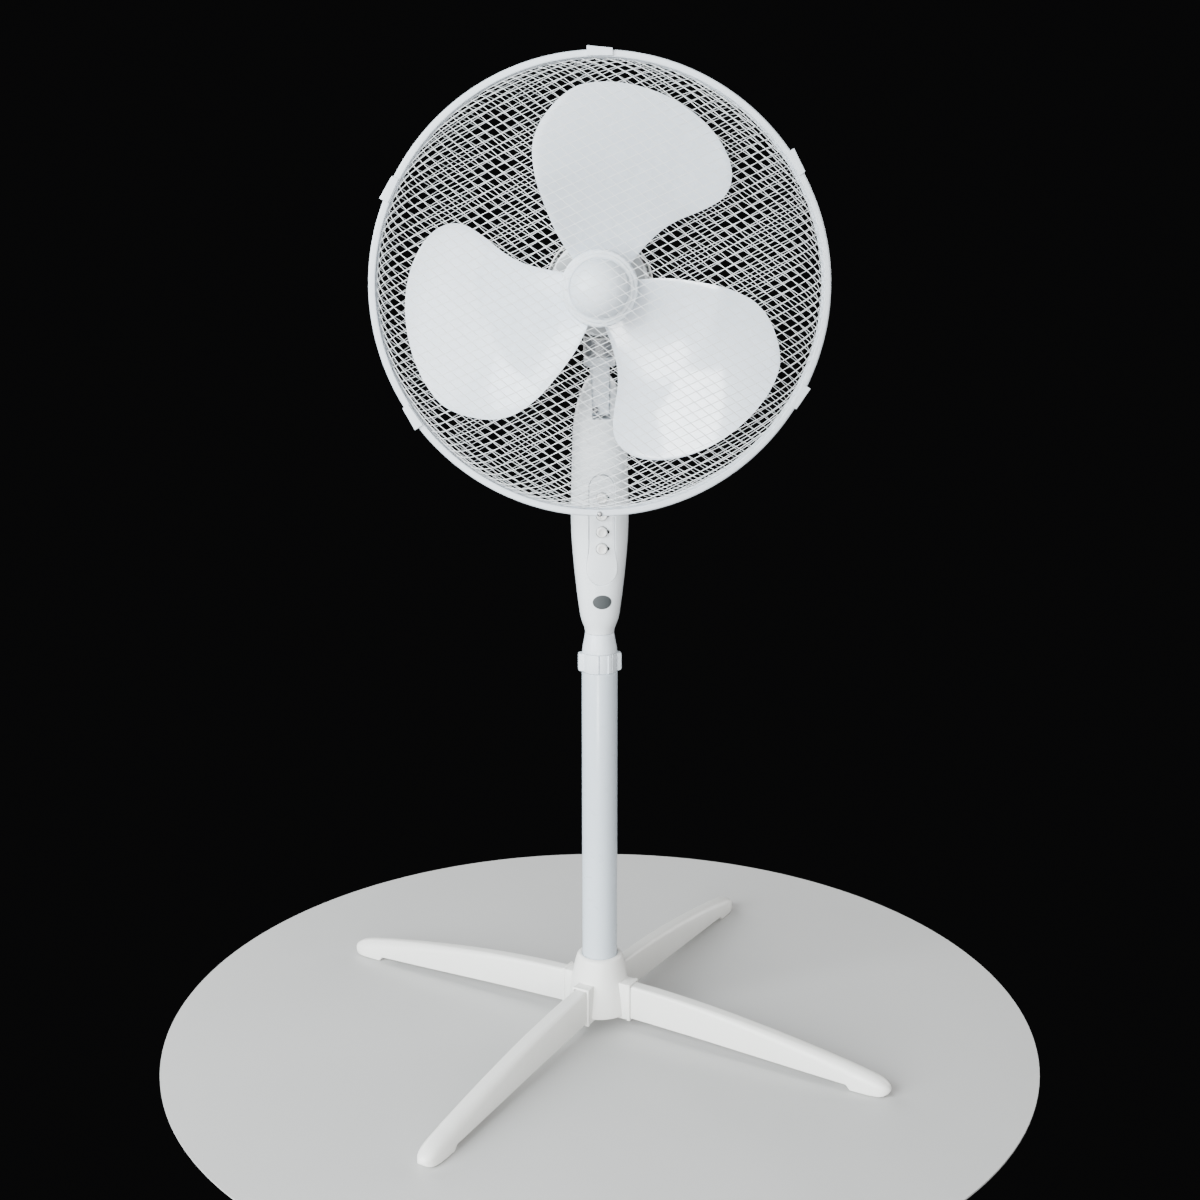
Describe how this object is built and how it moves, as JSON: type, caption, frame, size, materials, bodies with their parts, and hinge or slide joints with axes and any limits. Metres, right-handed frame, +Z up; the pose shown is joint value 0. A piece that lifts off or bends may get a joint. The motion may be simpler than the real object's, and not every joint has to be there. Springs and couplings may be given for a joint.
{
  "type": "pedestal fan",
  "caption": "Tall room fan on a cross foot: telescopic pole, tilting and oscillating head with blades inside a two-part mesh guard, push buttons on the column.",
  "frame": {"origin": "on the floor, on the pole's axis, with the mast fully down", "axes": "+Z up; the fan blows towards -Y at rest; +X to the right of someone who looks at its front"},
  "size_m": [0.5626, 0.5626, 0.9859],
  "materials": {
    "warm_white_plastic": "satin moulded plastic",
    "cool_white_plastic": "glossy moulded plastic",
    "pole_enamel": "smooth enamel on steel tube",
    "mesh_enamel": null,
    "bright_steel": "bright steel",
    "cast_aluminium": "as cast",
    "steel_lamination": "stacked sheet edges",
    "copper_winding": "varnished copper wire",
    "sintered_bronze": "oil-filled sintered metal",
    "natural_acetal": "natural moulded plastic",
    "black_plastic": "matt moulded plastic",
    "foot_pad_elastomer": "matt pale elastomer"
  },
  "bodies": {
    "base": {"base_hub": "warm_white_plastic", "leg_1": "warm_white_plastic", "leg_2": "warm_white_plastic", "leg_3": "warm_white_plastic", "leg_4": "warm_white_plastic", "foot_pad_1": "foot_pad_elastomer", "foot_pad_2": "foot_pad_elastomer", "foot_pad_3": "foot_pad_elastomer", "foot_pad_4": "foot_pad_elastomer", "leg_screw_1": "bright_steel", "leg_screw_2": "bright_steel", "leg_screw_3": "bright_steel", "leg_screw_4": "bright_steel", "outer_pole": "pole_enamel", "pole_bush": "cool_white_plastic"},
    "collar": {"height_lock_collar": "cool_white_plastic"},
    "mast": {"inner_tube": "bright_steel", "column_front": "warm_white_plastic", "column_rear": "warm_white_plastic", "button_panel": "warm_white_plastic", "switch_block": "black_plastic", "run_capacitor": "black_plastic", "cord_gland": "black_plastic", "tilt_bolt": "bright_steel"},
    "tilt_knob": {"tilt_knob": "warm_white_plastic"},
    "button_0": {"speed_button_0": "warm_white_plastic"},
    "button_1": {"speed_button_1": "warm_white_plastic"},
    "button_2": {"speed_button_2": "warm_white_plastic"},
    "button_3": {"speed_button_3": "warm_white_plastic"},
    "neck": {"tilt_neck": "warm_white_plastic", "neck_screw": "bright_steel"},
    "head": {"motor_front_shield": "cast_aluminium", "motor_rear_shield": "cast_aluminium", "stator_core": "steel_lamination", "front_winding": "copper_winding", "rear_winding": "copper_winding", "front_bearing": "sintered_bronze", "rear_bearing": "sintered_bronze", "motor_cover": "warm_white_plastic", "gearbox_housing": "cast_aluminium", "gearbox_cover": "cast_aluminium", "front_ring": "warm_white_plastic", "rear_ring": "warm_white_plastic", "front_grille": "mesh_enamel", "rear_grille": "mesh_enamel", "rear_grille_nut": "warm_white_plastic", "rim_screw": "bright_steel"},
    "rotor": {"motor_shaft": "bright_steel", "rotor_core": "steel_lamination", "blade_set": "cool_white_plastic", "spinner": "cool_white_plastic"},
    "wheel": {"worm_wheel": "natural_acetal"},
    "crank": {"crank": "bright_steel"},
    "link": {"link_arm": "bright_steel"},
    "swing_knob": {"oscillation_knob": "warm_white_plastic"},
    "clip_1": {"rim_clip_1": "warm_white_plastic"},
    "clip_2": {"rim_clip_2": "warm_white_plastic"},
    "clip_3": {"rim_clip_3": "warm_white_plastic"},
    "clip_4": {"rim_clip_4": "warm_white_plastic"},
    "clip_5": {"rim_clip_5": "warm_white_plastic"}
  },
  "joints": [
    {"name": "height_slide", "type": "slide", "parent": "base", "child": "mast", "axis": [0, 0, 1], "range_m": [0, 0.2]},
    {"name": "collar_turn", "type": "hinge", "parent": "base", "child": "collar", "pos_m": [0, 0, 0.3908], "axis": [0, 0, 1], "range_deg": [0, 90]},
    {"name": "tilt", "type": "hinge", "parent": "mast", "child": "neck", "pos_m": [0, 0, 0.662], "axis": [0.9945, 0.1045, 0], "range_deg": [-20, 10]},
    {"name": "tilt_knob_turn", "type": "hinge", "parent": "mast", "child": "tilt_knob", "pos_m": [0.03123, 0.00328, 0.662], "axis": [0.9945, 0.1045, 0], "range_deg": [0, 270]},
    {"name": "swing", "type": "hinge", "parent": "neck", "child": "head", "pos_m": [0, 0, 0.7], "axis": [0, 0, 1], "range_deg": [-40, 40]},
    {"name": "rotor_spin", "type": "hinge", "parent": "head", "child": "rotor", "pos_m": [0, -0.086, 0.7692], "axis": [0, 1, 0], "continuous": true},
    {"name": "wheel_spin", "type": "hinge", "parent": "head", "child": "wheel", "pos_m": [0.0143, 0.047, 0.7692], "axis": [0, 0, 1], "continuous": true},
    {"name": "crank_turn", "type": "hinge", "parent": "head", "child": "crank", "pos_m": [0.0143, 0.047, 0.702], "axis": [0, 0, 1], "range_deg": [-66, 66]},
    {"name": "link_turn", "type": "hinge", "parent": "neck", "child": "link", "pos_m": [0.00849, 0.02245, 0.6981], "axis": [0, 0, 1], "range_deg": [-50, 50]},
    {"name": "swing_knob_slide", "type": "slide", "parent": "head", "child": "swing_knob", "axis": [0, 0, 1], "range_m": [-0.006, 0]},
    {"name": "button_0_press", "type": "slide", "parent": "mast", "child": "button_0", "axis": [-0.1045, 0.9945, 0], "range_m": [0, 0.003], "stiffness_N_per_m": 400, "springref_m": -0.001},
    {"name": "button_1_press", "type": "slide", "parent": "mast", "child": "button_1", "axis": [-0.1045, 0.9945, 0], "range_m": [0, 0.003], "stiffness_N_per_m": 400, "springref_m": -0.001},
    {"name": "button_2_press", "type": "slide", "parent": "mast", "child": "button_2", "axis": [-0.1045, 0.9945, 0], "range_m": [0, 0.003], "stiffness_N_per_m": 400, "springref_m": -0.001},
    {"name": "button_3_press", "type": "slide", "parent": "mast", "child": "button_3", "axis": [-0.1045, 0.9945, 0], "range_m": [0, 0.003], "stiffness_N_per_m": 400, "springref_m": -0.001},
    {"name": "clip_1_open", "type": "hinge", "parent": "head", "child": "clip_1", "pos_m": [0, -0.0978, 0.9771], "axis": [1, 0, 0], "range_deg": [0, 70]},
    {"name": "clip_2_open", "type": "hinge", "parent": "head", "child": "clip_2", "pos_m": [0.17534, -0.0978, 0.88091], "axis": [0.5373, 0, -0.8434], "range_deg": [0, 70]},
    {"name": "clip_3_open", "type": "hinge", "parent": "head", "child": "clip_3", "pos_m": [0.18305, -0.0978, 0.67064], "axis": [-0.4741, 0, -0.8805], "range_deg": [0, 70]},
    {"name": "clip_4_open", "type": "hinge", "parent": "head", "child": "clip_4", "pos_m": [-0.17195, -0.0978, 0.65234], "axis": [-0.5621, 0, 0.8271], "range_deg": [0, 70]},
    {"name": "clip_5_open", "type": "hinge", "parent": "head", "child": "clip_5", "pos_m": [-0.18827, -0.0978, 0.85739], "axis": [0.4242, 0, 0.9056], "range_deg": [0, 70]}
  ],
  "couplings": [
    {"joint": "wheel_spin", "follows": "rotor_spin", "ratio": 0.025},
    {"joint": "crank_turn", "follows": "swing", "ratio": -1.597},
    {"joint": "link_turn", "follows": "swing", "ratio": 1.208}
  ]
}
